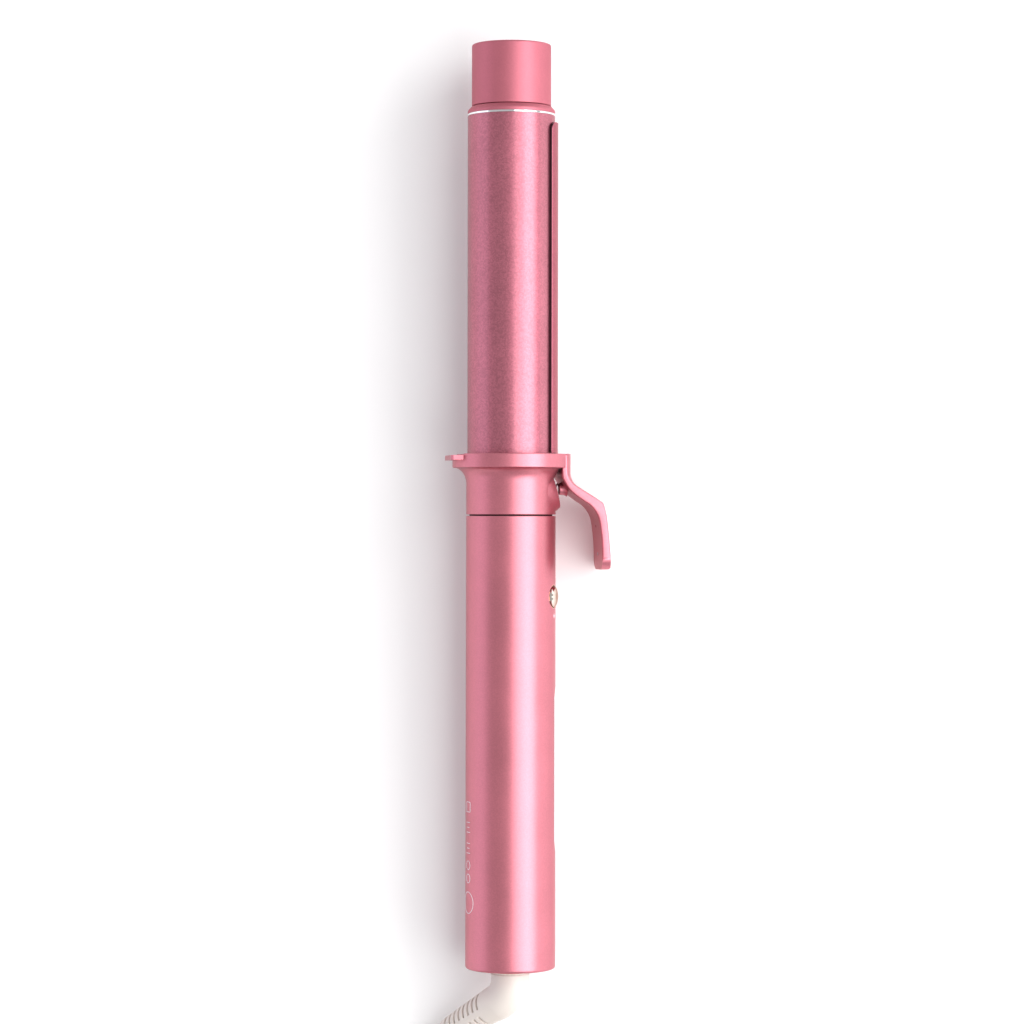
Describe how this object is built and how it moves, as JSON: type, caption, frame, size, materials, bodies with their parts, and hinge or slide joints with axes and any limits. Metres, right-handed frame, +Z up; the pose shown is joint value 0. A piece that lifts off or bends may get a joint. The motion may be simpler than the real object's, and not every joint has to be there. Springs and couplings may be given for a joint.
{
  "type": "curling iron",
  "caption": "Hair curling iron with a round heated barrel, a sprung clamp with a thumb lever, jewel buttons, a display window and a swivelling mains lead with its plug.",
  "frame": {"origin": "on the table under the middle of the iron's box, the lead and its coil left out", "axes": "+Y along the iron from the handle's end to the cool tip, +X towards the thumb lever, +Z up; the iron lies on its side on the handle's end, the flange and the lever's edge"},
  "size_m": [0.0985, 0.5011, 0.0429],
  "materials": {
    "rose_satin": "satin pearl paint",
    "rose_barrel": "glossy metallic coat",
    "rose_tip": "matte",
    "silver": "polished",
    "rose_gold": "polished",
    "dark_seam": "matte",
    "steel": "satin",
    "aluminium": "satin",
    "ceramic": "unglazed ceramic",
    "black_glass": "polished",
    "electronics": "moulded",
    "board": "solder mask",
    "jewel": "faceted crystal",
    "white_plastic": "satin",
    "ivory": "soft satin",
    "brass": "bright",
    "lead_red": "silicone sleeve",
    "lead_black": "silicone sleeve",
    "strap": "woven"
  },
  "bodies": {
    "cord_set": {"swivel_hub": "white_plastic", "hub_clip": "steel", "contact_rings": "brass", "strain_relief": "ivory", "cord_tube": "ivory", "cord_coil": "ivory", "cord_tie": "strap", "cord_tail": "ivory", "plug_body": "ivory", "pin_sleeves": "ivory", "plug_pins": "brass"},
    "iron": {"cool_tip": "rose_tip", "barrel_cap": "rose_tip", "trim_ring": "silver", "barrel": "rose_barrel", "heater_plate_front": "aluminium", "heater_plate_back": "aluminium", "ceramic_heater": "ceramic", "thermistor": "electronics", "thermal_fuse": "electronics", "barrel_bush": "ceramic", "collar": "rose_satin", "seam_ring": "dark_seam", "rest_foot": "rose_satin", "pivot_pins": "steel", "handle_shell": "rose_satin", "display_window": "black_glass", "display_module": "electronics", "circuit_board": "board", "capacitor": "electronics", "triac": "electronics", "button_bezels": "rose_gold", "tact_switches": "white_plastic", "chassis": "white_plastic", "chassis_screws": "steel", "heater_leads": "lead_red", "supply_leads": "lead_black", "end_cap": "rose_satin", "end_cap_screws": "steel", "end_ring": "rose_gold", "contact_brushes": "brass", "brush_holders": "white_plastic"},
    "clamp_lever": {"clamp": "rose_barrel", "clamp_rivets": "steel", "lever": "rose_satin", "thumb_pad": "rose_satin", "thumb_pins": "steel", "clamp_spring": "steel"},
    "button_up": {"button_up": "jewel"},
    "button_down": {"button_down": "jewel"}
  },
  "joints": [
    {"name": "lead_swivel", "type": "hinge", "parent": "cord_set", "child": "iron", "pos_m": [-0.00566, -0.16808, 0.01646], "axis": [0, -0.9996, -0.0269], "continuous": true},
    {"name": "clamp_hinge", "type": "hinge", "parent": "iron", "child": "clamp_lever", "pos_m": [0.00912, 0.01658, 0.01677], "axis": [-0.3012, 0.0257, -0.9532], "range_deg": [0, 14], "stiffness_Nm_per_rad": 0.6, "springref_deg": -14.32, "deforming": ["clamp_spring"]},
    {"name": "press_up", "type": "slide", "parent": "iron", "child": "button_up", "axis": [-0.9932, 0.0031, -0.1161], "range_m": [0, 0.0006], "stiffness_N_per_m": 800, "springref_m": -0.001},
    {"name": "press_down", "type": "slide", "parent": "iron", "child": "button_down", "axis": [-0.7463, -0.0179, 0.6654], "range_m": [0, 0.0006], "stiffness_N_per_m": 800, "springref_m": -0.001}
  ]
}
